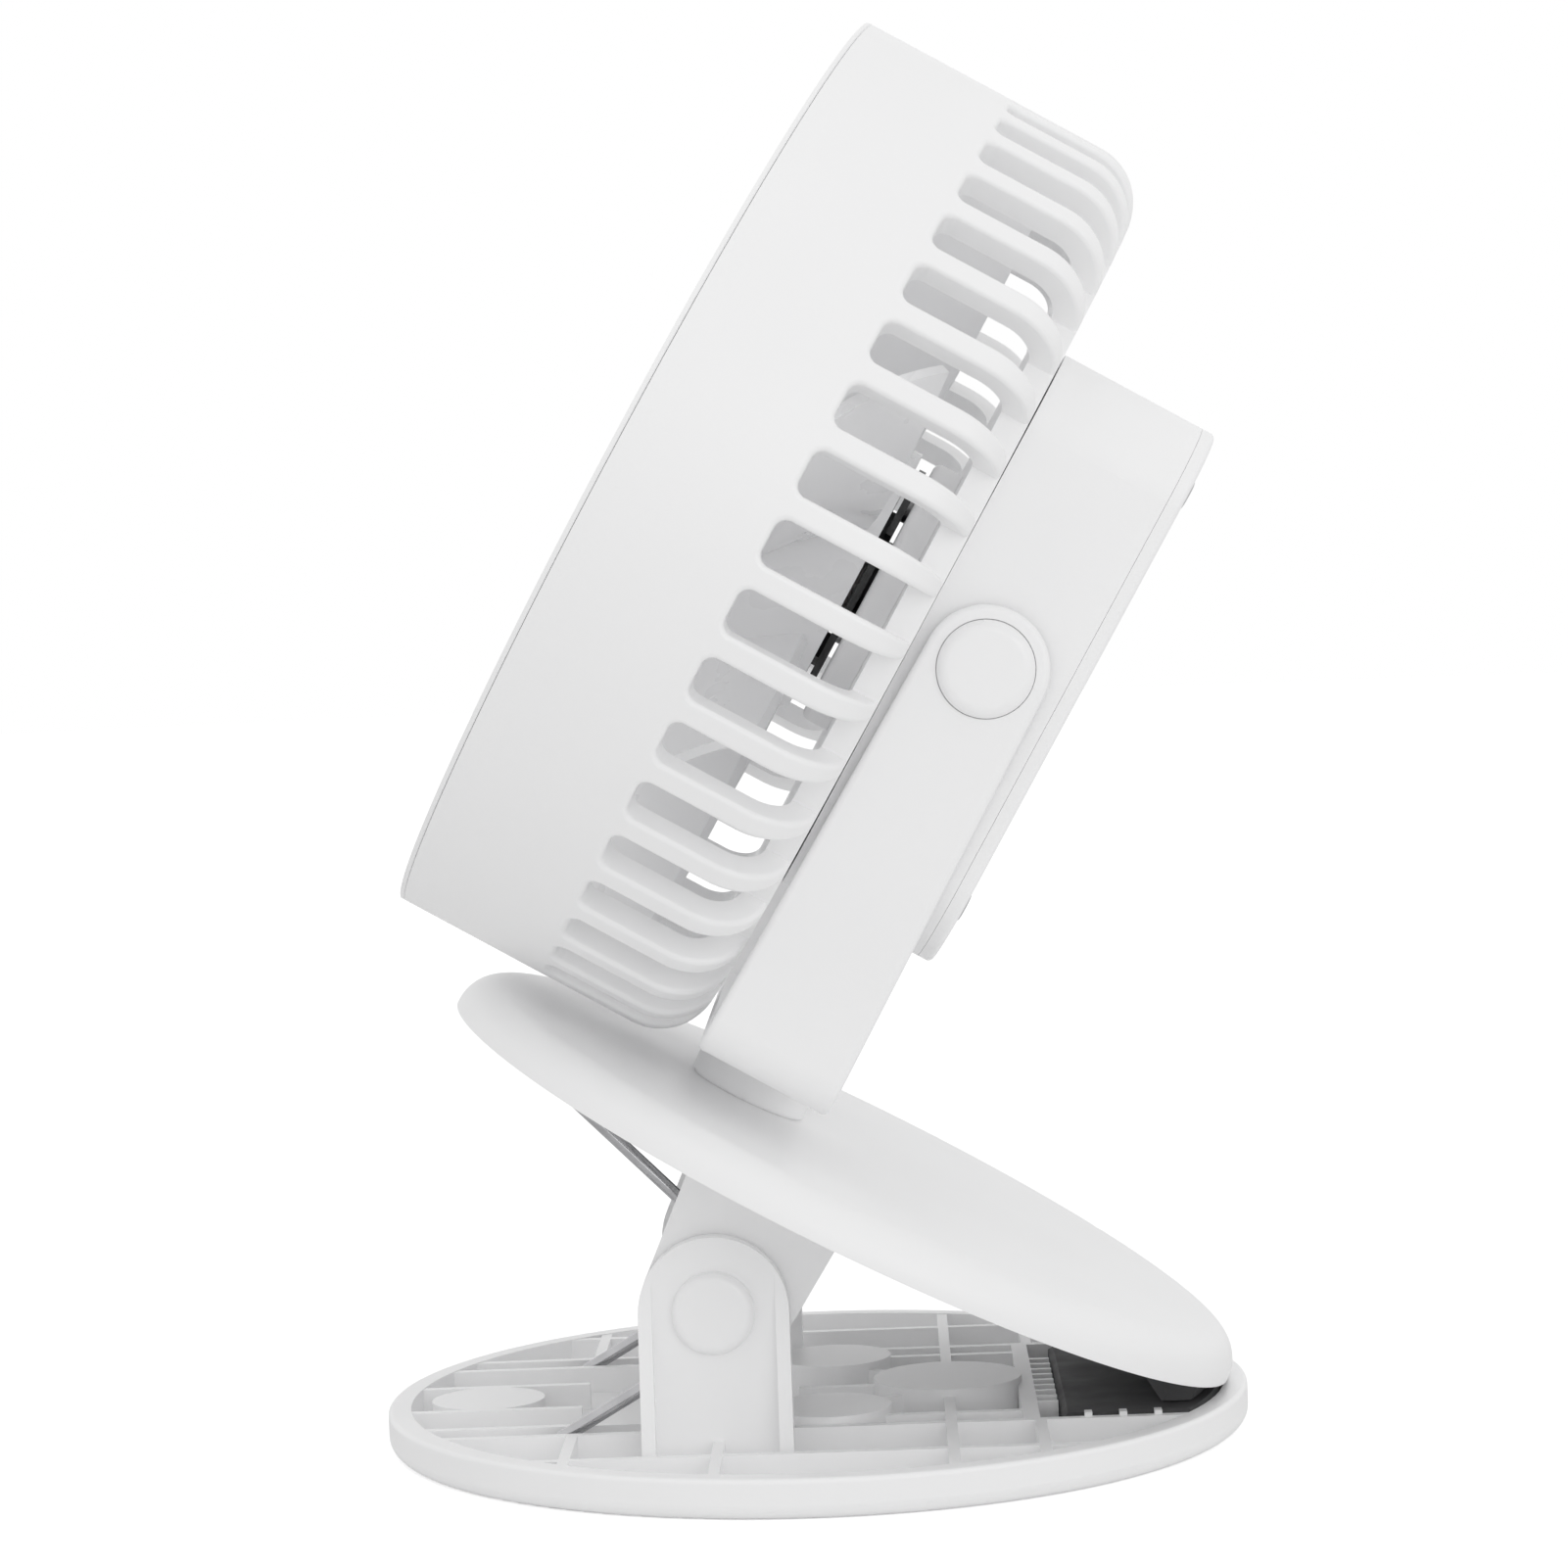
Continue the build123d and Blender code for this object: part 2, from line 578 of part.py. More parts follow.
# ---------------------------------------------------------------- yoke, in the yoke frame
def make_yoke():
    """The U-shaped yoke: a bridge, two arms with round eyes, and the swivel's boss and stub."""
    foot = arm_foot_width / 2
    head = arm_head_width / 2
    outline = make_hull([*(Pos(0, arm_height) * Circle(head)).edges(), Line((-foot, 0), (foot, 0))])
    blank = Pos(-yoke_half_width, 0, 0) * extrude(Plane.YZ * outline, 2 * yoke_half_width)
    blank = fillet(blank.edges().filter_by(Axis.Y).group_by(Axis.Z)[0], yoke_corner)
    sides = blank.faces().sort_by(Axis.X)
    rims = sides[0].edges() + sides[-1].edges()
    blank = fillet(rims.filter_by(Axis.Y, reverse=True), arm_edge_round)
    window = block(-arm_inner_x, arm_inner_x, -foot - 5, foot + 5, bridge_thickness, arm_height + head + 5)
    window = fillet(window.edges().filter_by(Axis.Y).group_by(Axis.Z)[0], yoke_fillet)
    body = blank - window
    for sign in (-1, 1):
        recess = sorted((sign * knob_floor_x, sign * (yoke_half_width + 1)))
        bore = sorted((sign * (arm_inner_x - 1), sign * (yoke_half_width + 1)))
        body -= rod(knob_radius + knob_gap, recess[0], recess[1], 0, arm_height)
        body -= rod(stub_radius + running_gap, bore[0], bore[1], 0, arm_height)
    body = yoke_frame * body
    stem = disc(swivel_radius, plate_top + running_gap, plate_top + swivel_height + 1.0, 0, swivel_y)
    groove = ring(swivel_radius + 1, swivel_radius - 0.5, plate_top, plate_top + 0.5, 0, swivel_y)
    stem -= groove
    stem += disc(swivel_stub_radius, plate_ceiling - running_gap, plate_top + 1, 0, swivel_y)
    stem -= disc(swivel_screw_radius + 0.02, plate_lift, plate_top + swivel_height - 0.9, 0, swivel_y)
    return body + clip_frame * stem


def tilt_place(x0, x1, radius):
    """A rod on the tilt axis, in the yoke frame."""
    return rod(radius, x0, x1, 0, arm_height)


def make_knob_caps():
    """The two domed caps in the eyes of the arms."""
    start = knob_floor_x + running_gap
    end = knob_floor_x + knob_height
    cap = tilt_place(start, end, knob_radius)
    cap = fillet(cap.edges().sort_by(Axis.X)[-1], knob_round)
    cap -= tilt_place(start - 1, end - knob_wall, knob_radius - knob_wall)
    return group(both_sides(cap), yoke_frame)


def make_tilt_screws():
    """The two screws that hold the arms on the head's stubs."""
    seat = knob_floor_x + running_gap
    head = tilt_place(seat, seat + 1.5, knob_radius - knob_wall - 0.8)
    head = fillet(head.edges().sort_by(Axis.X)[-1], 0.5)
    head += tilt_place(seat - 11, seat + 0.5, screw_radius)
    return group(both_sides(head), yoke_frame)


def make_tilt_washers():
    """The two friction washers between the arms and the box."""
    inner = box_width / 2 + washer_gap
    outer = arm_inner_x - washer_gap
    washer = tilt_place(inner, outer, stub_radius + 3.5) - tilt_place(inner - 1, outer + 1, stub_radius + 0.1)
    return group(both_sides(washer), yoke_frame)


# ---------------------------------------------------------------- head, in the head frame
def is_slot_rim(edge):
    """Whether an edge of a slot lies on the drum's rounded outside."""
    spot = edge @ 0.5
    radius = math.hypot(spot.X, spot.Y)
    corner = math.hypot(max(radius - head_radius + head_corner, 0), max(-spot.Z - head_depth + head_corner, 0))
    outside = abs(corner - head_corner) < 0.05 and radius > head_radius - head_corner + 0.1
    return outside and abs(spot.Y) < slot_width / 2 + 0.01 and spot.Z < -slot_start + 0.1


def slotted_sector(shell):
    """The part of the shell between two fins' middles, with its slot; the slot's rims are rounded."""
    half = math.radians(180 / slot_count)
    far_x = 2 * head_radius * math.cos(half)
    far_y = 2 * head_radius * math.sin(half)
    wedge = make_face(Polyline((0, 0), (far_x, -far_y), (far_x, far_y), close=True))
    sector = shell & (Pos(0, 0, -head_depth - 1) * extrude(wedge, head_depth + 2))
    cutter = block(head_radius - head_corner, head_radius + 5, -slot_width / 2, slot_width / 2,
                   -head_depth - 5, -slot_start)
    sector -= fillet(cutter.edges().filter_by(Axis.X).group_by(Axis.Z)[-1], slot_corner)
    return fillet(sector.edges().filter_by(is_slot_rim), fin_round)


def make_fan_housing():
    """The drum: a plain band in front, finned slots behind that wrap round the rear edge."""
    front = -grille_lip - grille_gap
    outer = Rot(180, 0, 0) * dish(head_radius, head_depth, head_corner)
    slotted = Rot(180, 0, 0) * dish(head_radius - fin_depth, back_inner, head_corner - fin_depth)
    bore = disc(head_radius - shell_wall, -slot_start + fin_depth, 1)
    step = Pos(0, 0, -slot_start + fin_depth) * Rot(180, 0, 0) * Cone(
        head_radius - shell_wall, head_radius - fin_depth, fin_depth - shell_wall, align=UP)
    shell = outer - slotted - bore - step
    shell -= disc(head_radius + 1, front, 1)
    sector = slotted_sector(shell)
    shell = Part() + [Rot(0, 0, 360 * index / slot_count) * sector for index in range(slot_count)]
    shell -= disc(4.0, -head_depth - 1, 0)
    for x, y in housing_screw_places():
        shell -= disc(screw_radius, -head_depth - 1, -back_inner - 1.0, x, y)
    for x, y in motor_screw_places():
        shell -= disc(screw_radius, -head_depth + 0.8, -back_inner + 1, x, y)
    return head_frame * shell


def housing_screw_places():
    """Where the box is screwed to the drum's back."""
    return [(x, y) for x in (-28, 28) for y in (-28, 28)]


def motor_screw_places():
    """Where the motor's cup is screwed to the drum's back."""
    return [(15 * math.cos(math.radians(a)), 15 * math.sin(math.radians(a))) for a in (90, 210, 330)]


def make_front_grille():
    """The front guard: a lipped ring, bowed bars, two rings and a plain middle disc."""
    rim = head_radius - shell_wall - grille_gap
    hub = grille_hub_radius
    bar = Circle(grille_bar_bow + grille_bar_width / 2) - Circle(grille_bar_bow - grille_bar_width / 2)
    middle = (rim + hub) / 4
    bar = Pos(middle, grille_bar_bow, 0) * bar
    bar = bar & (Pos(rim / 2, 0) * Rectangle(rim, 2 * grille_bar_bow))
    bar = bar & (Circle(rim - 1) - Circle(hub - 1))
    pattern = Circle(rim) - Circle(rim - 3)
    pattern += Circle(hub)
    for radius in grille_rings:
        pattern += Circle(radius + 1) - Circle(radius - 1)
    for index in range(grille_bars):
        pattern += Rot(0, 0, 360 * index / grille_bars) * bar
    body = Pos(0, 0, -grille_depth) * extrude(pattern, grille_depth - 0.4)
    lip = ring(head_radius, rim - 3, -grille_lip, 0)
    lip = fillet(lip.edges().filter_by(GeomType.CIRCLE).sort_by(SortBy.RADIUS)[-1], 0.35)
    skirt = ring(rim, rim - 1.6, -grille_depth - 3, -grille_lip + 0.1)
    badge = disc(hub, -grille_depth, 0)
    badge = fillet(badge.edges().filter_by(GeomType.CIRCLE).sort_by(Axis.Z)[-1], 0.6)
    return head_frame * (body + lip + skirt + badge)


def blade_section(radius, chord, pitch, skew):
    """One thin bowed section of a blade, square to its own radius."""
    half = chord / 2
    bow = chord * 0.07
    thin = blade_thickness / 2
    outline = [
        ThreePointArc((-half, thin), (0, bow + thin), (half, thin)),
        Line((half, thin), (half, -thin)),
        ThreePointArc((half, -thin), (0, bow - thin), (-half, -thin)),
        Line((-half, -thin), (-half, thin)),
    ]
    face = make_face(outline)
    plane = Plane(origin=(radius, 0, -(hub_front + hub_rear) / 2), x_dir=(0, 1, 0), z_dir=(1, 0, 0))
    return Rot(0, 0, skew) * (plane * (Rot(0, 0, -pitch) * face))


def make_impeller():
    """The impeller: a hub cup and seven twisted blades."""
    hub = disc(hub_radius, -hub_rear, -hub_front)
    hub = fillet(hub.edges().sort_by(Axis.Z)[-1], 3.0)
    radii = (cavity_radius - 4, (hub_radius + blade_tip_radius) / 2, blade_tip_radius)
    sections = [blade_section(*values) for values in zip(radii, blade_chords, blade_pitches, blade_sweeps)]
    blade = loft(sections)
    blades = [Rot(0, 0, 360 * index / blade_count) * blade for index in range(blade_count)]
    fan = hub + blades
    fan = fan & disc(blade_tip_radius, -hub_rear, -hub_front + 1)
    fan -= disc(cavity_radius, -hub_rear - 1, -hub_front - hub_wall)
    fan += disc(5, -hub_front - 6, -hub_front - hub_wall + 0.5)
    fan -= disc(shaft_radius + 0.01, -hub_front - 7, -hub_front - hub_wall)
    return head_frame * fan


def make_rotor_bell():
    """The steel bell with the magnets' ring, bonded inside the hub."""
    front = -hub_front - hub_wall - 0.05
    bell = disc(bell_radius, -hub_rear + 2, front)
    bell -= disc(bell_radius - bell_wall, -hub_rear, front - bell_wall)
    bell -= disc(5.1, -hub_rear, front + 1)
    return head_frame * bell


def make_magnet_ring():
    """The ring magnet inside the bell."""
    outer = bell_radius - bell_wall - 0.03
    return head_frame * ring(outer, stator_radius + 0.6, -hub_rear + 2.5, -hub_front - 6.0)


def make_motor_shaft():
    """The shaft from the hub into the motor's stand."""
    shaft = disc(shaft_radius, -cup_front - 2.5, -hub_front - hub_wall - 0.05)
    return head_frame * shaft


def stand_bearing_ends():
    """Depths where the two bearings start."""
    return (-hub_front - 11.0, -cup_front + 2.0)


def make_motor_cup():
    """The fixed cup behind the fan, with the tube that holds bearings and stator."""
    floor = back_inner - 0.03
    cup = disc(hub_radius, -floor, -cup_front)
    cup = fillet(cup.edges().sort_by(Axis.Z)[-1], 1.4)
    tube_radius = bearing_radius + stand_wall
    cup += disc(tube_radius, -floor, -hub_front - 7.0)
    cup -= disc(bearing_radius + 0.02, -cup_front - 2.6, -hub_front)
    for x, y in motor_screw_places():
        cup -= disc(screw_radius + 0.15, -floor - 1, -cup_front + 1, x, y)
    return head_frame * cup


def make_motor_bearings():
    """Two plain bearings in the stand."""
    rings = [ring(bearing_radius, shaft_radius + 0.03, start - bearing_width, start)
             for start in stand_bearing_ends()]
    return group(rings, head_frame)


def make_motor_stator():
    """The stator: a core with nine wound poles round the stand."""
    inner = bearing_radius + stand_wall + 0.05
    front = -hub_front - 8.0
    rear = -hub_rear + 4.0
    core = ring(inner + 2.5, inner, rear, front)
    for index in range(9):
        arm = block(inner + 1, stator_radius - 1, -1.4, 1.4, rear + 2, front - 2)
        coil = block(inner + 3.5, stator_radius - 3.2, -2.3, 2.3, rear + 0.5, front - 0.5)
        shoe = block(stator_radius - 2.4, stator_radius - 0.4, -4.2, 4.2, rear + 2, front - 2)
        core += Rot(0, 0, 40 * index) * (arm + fillet(coil.edges().filter_by(Axis.X), 1.0) + shoe)
    return head_frame * core


def make_motor_board():
    """The round circuit board in the gap between hub and cup, notched round its edge."""
    inner = bearing_radius + stand_wall + 0.05
    middle = -(hub_rear + cup_front) / 2
    board = ring(hub_radius - 2.4, inner, middle - board_thickness / 2, middle + board_thickness / 2)
    for angle in (20, 62, 150, 200, 290):
        notch = block(hub_radius - 7, hub_radius, -2.2, 2.2, middle - 2, middle + 2)
        board -= Rot(0, 0, angle) * notch
    for x, y in motor_screw_places():
        board -= disc(screw_head_radius + 0.4, -cup_front, middle + 1, x, y)
    for angle in (40, 130, 175, 250, 290):
        chip = block(11, 15.5, -2.4, 2.4, middle, middle + 1.5)
        board += Rot(0, 0, angle) * chip
    board += ring(inner + 2, inner, -cup_front, middle)
    return head_frame * board


def rounded_box(width, length, corner, start, end):
    """A box with rounded corners along z."""
    sheet = RectangleRounded(width, length, corner)
    return Pos(0, 0, start) * extrude(sheet, end - start)


def cover_screw_places():
    """Where the rear cover is screwed to the box."""
    return [(x, y) for x in (-36, 36) for y in (-37, 37)]


def make_battery_box():
    """The box behind the drum, with the tilt stubs on its sides."""
    back = -cover_front
    box = rounded_box(box_width, box_length, box_corner, back, -box_front)
    box -= rounded_box(box_width - 2 * box_wall, box_length - 2 * box_wall, box_corner - box_wall,
                       back - 1, -box_front - box_wall)
    for x, y in cover_screw_places():
        box += disc(3.6, back, -box_front - 1, x, y)
        box -= disc(screw_radius, back - 1, back + 10, x, y)
    for x, y in housing_screw_places():
        box += disc(5.0, -box_front - 1, -head_depth - 0.03, x, y)
        box -= disc(screw_radius + 0.15, back, -head_depth + 1, x, y)
    stub_end = knob_floor_x + running_gap
    for sign in (-1, 1):
        inner, outer = sorted((sign * (box_width / 2 - 9), sign * stub_end))
        box += rod(stub_radius, inner, outer, -tilt_axis_drop, -tilt_axis_back)
        inner, outer = sorted((sign * (box_width / 2 - 10), sign * (stub_end + 1)))
        box -= rod(screw_radius + 0.01, inner, outer, -tilt_axis_drop, -tilt_axis_back)
    box -= disc(4.0, back - 1, 0)
    mouth = usb_prism(0.1, -box_length / 2 - 1, box_wall + 2)
    return head_frame * (box - mouth)


def usb_prism(grow, start, length):
    """The socket's rounded outline, grown all round and run up into the box."""
    height = usb_height + 2 * grow
    sheet = RectangleRounded(usb_width + 2 * grow, height, height / 2 - 0.05)
    return Pos(0, start, usb_level()) * Rot(-90, 0, 0) * extrude(sheet, length)


def usb_level():
    """Height of the charging socket's middle in the head frame."""
    return board_level() + usb_height / 2 + 0.05


def board_level():
    """Front face of the control board in the head frame."""
    return -cover_front + 6.0


def make_rear_cover():
    """The flat rear cover with the button's and the lamp window's openings."""
    cover = rounded_box(box_width, box_length, box_corner, -box_back, -cover_front - cover_seam)
    cover = fillet(cover.faces().sort_by(Axis.Z)[0].edges(), cover_round)
    inside = rounded_box(box_width - 2 * box_wall - 0.3, box_length - 2 * box_wall - 0.3,
                         box_corner - box_wall, -cover_front - 0.2, -cover_front + 1.5)
    inside -= rounded_box(box_width - 4 * box_wall, box_length - 4 * box_wall,
                          box_corner - 2 * box_wall, -cover_front - 3, -cover_front + 3)
    cover += inside
    for x, y in cover_screw_places():
        cover -= disc(4.0, -cover_front - cover_seam, -cover_front + 3, x, y)
        cover -= disc(screw_radius + 0.15, -box_back - 1, -cover_front + 1, x, y)
        cover -= disc(screw_head_radius + 0.2, -box_back - 1, -box_back + cover_screw_recess, x, y)
    cover -= disc(button_radius + button_gap, -box_back - 1, -cover_front + 1, 0, button_y())
    cover -= lamp_bar(0.1, -box_back - 1, -cover_front + 1)
    return head_frame * cover


def button_y():
    """Height of the button's middle on the rear cover."""
    return -box_length / 4 - 6


def lamp_bar(gap, start, end):
    """The lamp window's bar, wider all round by the gap."""
    sheet = SlotOverall(14 + 2 * gap, 2.6 + 2 * gap)
    return Pos(0, button_y() + 11, start) * extrude(sheet, end - start)


def make_lamp_window():
    """The frosted bar in front of the charge lamps."""
    return head_frame * lamp_bar(0, -box_back + 0.15, -cover_front + 0.3)


def make_power_button():
    """The round push button: its cap shows, its flange stays behind the cover."""
    inner = -cover_front
    cap = disc(button_radius, -box_back - button_height, inner + 0.3, 0, button_y())
    cap = fillet(cap.edges().sort_by(Axis.Z)[0], 0.5)
    cap += disc(button_radius + 1.4, inner + 0.1, inner + 1.1, 0, button_y())
    cap += disc(1.6, inner + 0.5, board_level() - board_thickness - button_travel - 0.9, 0, button_y())
    return head_frame * cap


def make_control_board():
    """The control board with the switch under the button and a charging chip."""
    level = board_level()
    board = block(-26, 26, -43, board_top_y, level - board_thickness, level)
    switch = block(-3, 3, button_y() - 3, button_y() + 3, level - board_thickness - 0.7, level - 0.5)
    chip = block(10, 18, -38, -30, level - board_thickness - 1.2, level - 0.5)
    coil = block(-20, -13, -37, -30, level - board_thickness - 2.4, level - 0.5)
    return head_frame * (board + switch + chip + coil)


def make_usb_socket():
    """The charging socket's metal shell and tongue, flush with the box's lower wall."""
    low = -box_length / 2 + 0.4
    shell = usb_prism(0, low, usb_depth) - usb_prism(-0.35, low - 1, usb_depth)
    tongue = block(-3.3, 3.3, low + 1, low + usb_depth, usb_level() - 0.35, usb_level() + 0.35)
    return head_frame * (shell + tongue)


def make_battery_cells():
    """Two round cells side by side over the control board."""
    start = board_top_y + 0.8
    level = -(box_front + box_wall + cell_diameter / 2 + 0.8)
    cells = []
    for sign in (-1, 1):
        cell = Pos(sign * (cell_diameter / 2 + 0.4), start, level) * Rot(-90, 0, 0) * Cylinder(
            cell_diameter / 2, cell_length - 1.2, align=UP)
        cell = fillet(cell.edges().filter_by(GeomType.CIRCLE), 0.8)
        tip = Pos(sign * (cell_diameter / 2 + 0.4), start + cell_length - 1.4, level) * Rot(-90, 0, 0)
        cells.append(cell + tip * Cylinder(3.2, 1.2, align=UP))
    return group(cells, head_frame)


def make_cover_screws():
    """The four screws in the rear cover."""
    screws = [screw(x, y, -box_back + cover_screw_recess, 9, -1) for x, y in cover_screw_places()]
    return group(screws, head_frame)


def make_housing_screws():
    """The four screws from inside the box into the drum's back."""
    seat = -box_front - box_wall
    screws = [screw(x, y, seat, box_wall + box_gap + 2.8, -1) for x, y in housing_screw_places()]
    return group(screws, head_frame)


def make_motor_screws():
    """The three screws that hold the motor's cup."""
    screws = [screw(x, y, -cup_front, 7.0, 1) for x, y in motor_screw_places()]
    return group(screws, head_frame)


PARTS = {
    "base_plate": make_base_plate,
    "base_grip_ring": make_base_grip_ring,
    "lower_jaw_pad": make_lower_jaw_pad,
    "hinge_axle": make_hinge_axle,
    "hinge_caps": make_hinge_caps,
    "clip_spring": make_clip_spring,
    "top_plate": make_top_plate,
    "clip_bracket": make_clip_bracket,
    "bracket_screws": make_bracket_screws,
    "upper_jaw_pad": make_upper_jaw_pad,
    "swivel_washer": make_swivel_washer,
    "swivel_screw": make_swivel_screw,
    "yoke": make_yoke,
    "knob_caps": make_knob_caps,
    "tilt_screws": make_tilt_screws,
    "tilt_washers": make_tilt_washers,
    "fan_housing": make_fan_housing,
    "front_grille": make_front_grille,
    "impeller": make_impeller,
    "rotor_bell": make_rotor_bell,
    "magnet_ring": make_magnet_ring,
    "motor_shaft": make_motor_shaft,
    "motor_cup": make_motor_cup,
    "motor_bearings": make_motor_bearings,
    "motor_stator": make_motor_stator,
    "motor_board": make_motor_board,
    "motor_screws": make_motor_screws,
    "battery_box": make_battery_box,
    "rear_cover": make_rear_cover,
    "lamp_window": make_lamp_window,
    "power_button": make_power_button,
    "control_board": make_control_board,
    "usb_socket": make_usb_socket,
    "battery_cells": make_battery_cells,
    "cover_screws": make_cover_screws,
    "housing_screws": make_housing_screws,
}

os.makedirs("parts", exist_ok=True)
for name, make in PARTS.items():
    export_step(make(), "parts/" + name + ".step")
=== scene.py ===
import math

import bmesh
import bpy
from mathutils import Matrix, Vector


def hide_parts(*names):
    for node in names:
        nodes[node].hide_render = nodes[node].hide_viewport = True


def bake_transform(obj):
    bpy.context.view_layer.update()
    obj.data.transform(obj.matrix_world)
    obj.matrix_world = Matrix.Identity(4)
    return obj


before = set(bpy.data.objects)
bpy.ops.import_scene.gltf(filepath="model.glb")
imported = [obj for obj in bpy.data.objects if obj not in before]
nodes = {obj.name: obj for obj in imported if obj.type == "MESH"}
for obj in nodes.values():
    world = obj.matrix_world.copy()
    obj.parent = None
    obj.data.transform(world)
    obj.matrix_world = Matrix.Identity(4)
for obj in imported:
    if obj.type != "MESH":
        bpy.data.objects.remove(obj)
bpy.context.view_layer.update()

scene = bpy.context.scene
scene.view_settings.view_transform = "Standard"
scene.cycles.max_bounces = 16
scene.cycles.diffuse_bounces = 12

# ---- Camera -----------------------------------------------------------------------------
# The photograph looks along the clip's hinge, from just over the fan's middle. These values
# come from fitting the plates' rims, the drum's front edge and its slots.
VIEW_TARGET = Vector((0.0, -0.001612, 0.108148))
VIEW_DISTANCE = 0.700
VIEW_AZIMUTH = math.radians(1.337)
VIEW_ELEVATION = math.radians(2.883)
VIEW_ROLL = math.radians(-2.261)
FOCAL_PIXELS = 4275.07
PHOTO_PIXELS = 1601
SENSOR_WIDTH = 36.0
NEAREST_SEEN = 0.05

toward_camera = Vector((
    math.cos(VIEW_ELEVATION) * math.cos(VIEW_AZIMUTH),
    math.cos(VIEW_ELEVATION) * math.sin(VIEW_AZIMUTH),
    math.sin(VIEW_ELEVATION),
))
camera = bpy.data.objects.new("photo_camera", bpy.data.cameras.new("photo_camera"))
camera.data.sensor_width = SENSOR_WIDTH
camera.data.lens = SENSOR_WIDTH * FOCAL_PIXELS / PHOTO_PIXELS
camera.data.clip_start = NEAREST_SEEN
turn = (-toward_camera).to_track_quat("-Z", "Y").to_matrix() @ Matrix.Rotation(VIEW_ROLL, 3, "Z")
camera.matrix_world = Matrix.Translation(VIEW_TARGET + VIEW_DISTANCE * toward_camera) @ turn.to_4x4()
scene.collection.objects.link(camera)
scene.camera = camera


# ---- Studio lamps -----------------------------------------------------------------------
# One broad soft lamp stands on the camera's side and one hangs over the fan. Both are large
# and far, so that the slots and the tray's ribs keep soft shadows.
def area_lamp(name, place, aim, size, power):
    """A square soft lamp at a place, aimed at a point."""
    lamp = bpy.data.objects.new(name, bpy.data.lights.new(name, "AREA"))
    lamp.data.shape = "SQUARE"
    lamp.data.size = size
    lamp.data.energy = power
    direction = Vector(aim) - Vector(place)
    lamp.matrix_world = Matrix.Translation(place) @ direction.to_track_quat("-Z", "Y").to_matrix().to_4x4()
    scene.collection.objects.link(lamp)


area_lamp("side_lamp", place=(1.7, 0.8, 0.3), aim=(0, 0, 0.12), size=1.6, power=7.0)
area_lamp("top_lamp", place=(0.4, -0.3, 1.9), aim=(0, 0, 0.1), size=1.2, power=3.0)

# ---- White room -------------------------------------------------------------------------
# The room lights the fan evenly, a little below white. The camera, gloss and glass see it as
# plain white.
ROOM_LEVEL = 0.74
WHITE = (1.0, 1.0, 1.0, 1.0)
world = bpy.data.worlds.new("white_room")
world.use_nodes = True
scene.world = world
room = world.node_tree
background = room.nodes["Background"]
background.inputs["Color"].default_value = WHITE
rays = room.nodes.new("ShaderNodeLightPath")
seen = room.nodes.new("ShaderNodeMath")
seen.operation = "MAXIMUM"
seen_through = room.nodes.new("ShaderNodeMath")
seen_through.operation = "MAXIMUM"
level = room.nodes.new("ShaderNodeMapRange")
level.inputs["To Min"].default_value = ROOM_LEVEL
level.inputs["To Max"].default_value = 1.0
room.links.new(rays.outputs["Is Camera Ray"], seen.inputs[0])
room.links.new(rays.outputs["Is Glossy Ray"], seen.inputs[1])
room.links.new(seen.outputs[0], seen_through.inputs[0])
room.links.new(rays.outputs["Is Transmission Ray"], seen_through.inputs[1])
room.links.new(seen_through.outputs[0], level.inputs["Value"])
room.links.new(level.outputs["Result"], background.inputs["Strength"])


# ---- Floor ------------------------------------------------------------------------------
# A pale matt floor under the base. For the camera alone it is lifted towards white, and it
# keeps the fan's soft shadow.
def new_material(name):
    """An empty node material and its shader."""
    material = bpy.data.materials.new(name)
    material.use_nodes = True
    return material, material.node_tree.nodes["Principled BSDF"]


FLOOR_RADIUS = 4.0
FLOOR_SIDES = 64
FLOOR_TONE = (0.88, 0.88, 0.88, 1.0)
FLOOR_LIFT = 0.45
floor_mesh = bpy.data.meshes.new("floor")
floor_shape = bmesh.new()
bmesh.ops.create_circle(floor_shape, cap_ends=True, segments=FLOOR_SIDES, radius=FLOOR_RADIUS)
floor_shape.to_mesh(floor_mesh)
floor_shape.free()
floor = bpy.data.objects.new("floor", floor_mesh)
scene.collection.objects.link(floor)
floor_material, floor_shader = new_material("pale_floor")
floor_shader.inputs["Base Color"].default_value = FLOOR_TONE
floor_shader.inputs["Roughness"].default_value = 0.9
floor_shader.inputs["Specular IOR Level"].default_value = 0.0
floor_shader.inputs["Emission Color"].default_value = WHITE
floor_tree = floor_material.node_tree
floor_rays = floor_tree.nodes.new("ShaderNodeLightPath")
floor_lift = floor_tree.nodes.new("ShaderNodeMath")
floor_lift.operation = "MULTIPLY"
floor_lift.inputs[1].default_value = FLOOR_LIFT
floor_tree.links.new(floor_rays.outputs["Is Camera Ray"], floor_lift.inputs[0])
floor_tree.links.new(floor_lift.outputs[0], floor_shader.inputs["Emission Strength"])
floor.data.materials.append(floor_material)


# ---- Base plate -------------------------------------------------------------------------
# The lower jaw is an open ribbed tray with two hinge ears, moulded in one shot of white ABS.
# The mould was spark-eroded, so the surface is satin with a very fine grain and hardly any
# change of tone.
NOISE_LOW = 0.3            # the noise seldom leaves this band
NOISE_HIGH = 0.7
TONE_DETAIL = 3.0
GLOSS_DETAIL = 4.0
GRAIN_DETAIL = 2.0
GLOSS_SCALE = 3.0          # the gloss drifts this many times finer than the tone
GRAIN_DEPTH = 0.0002


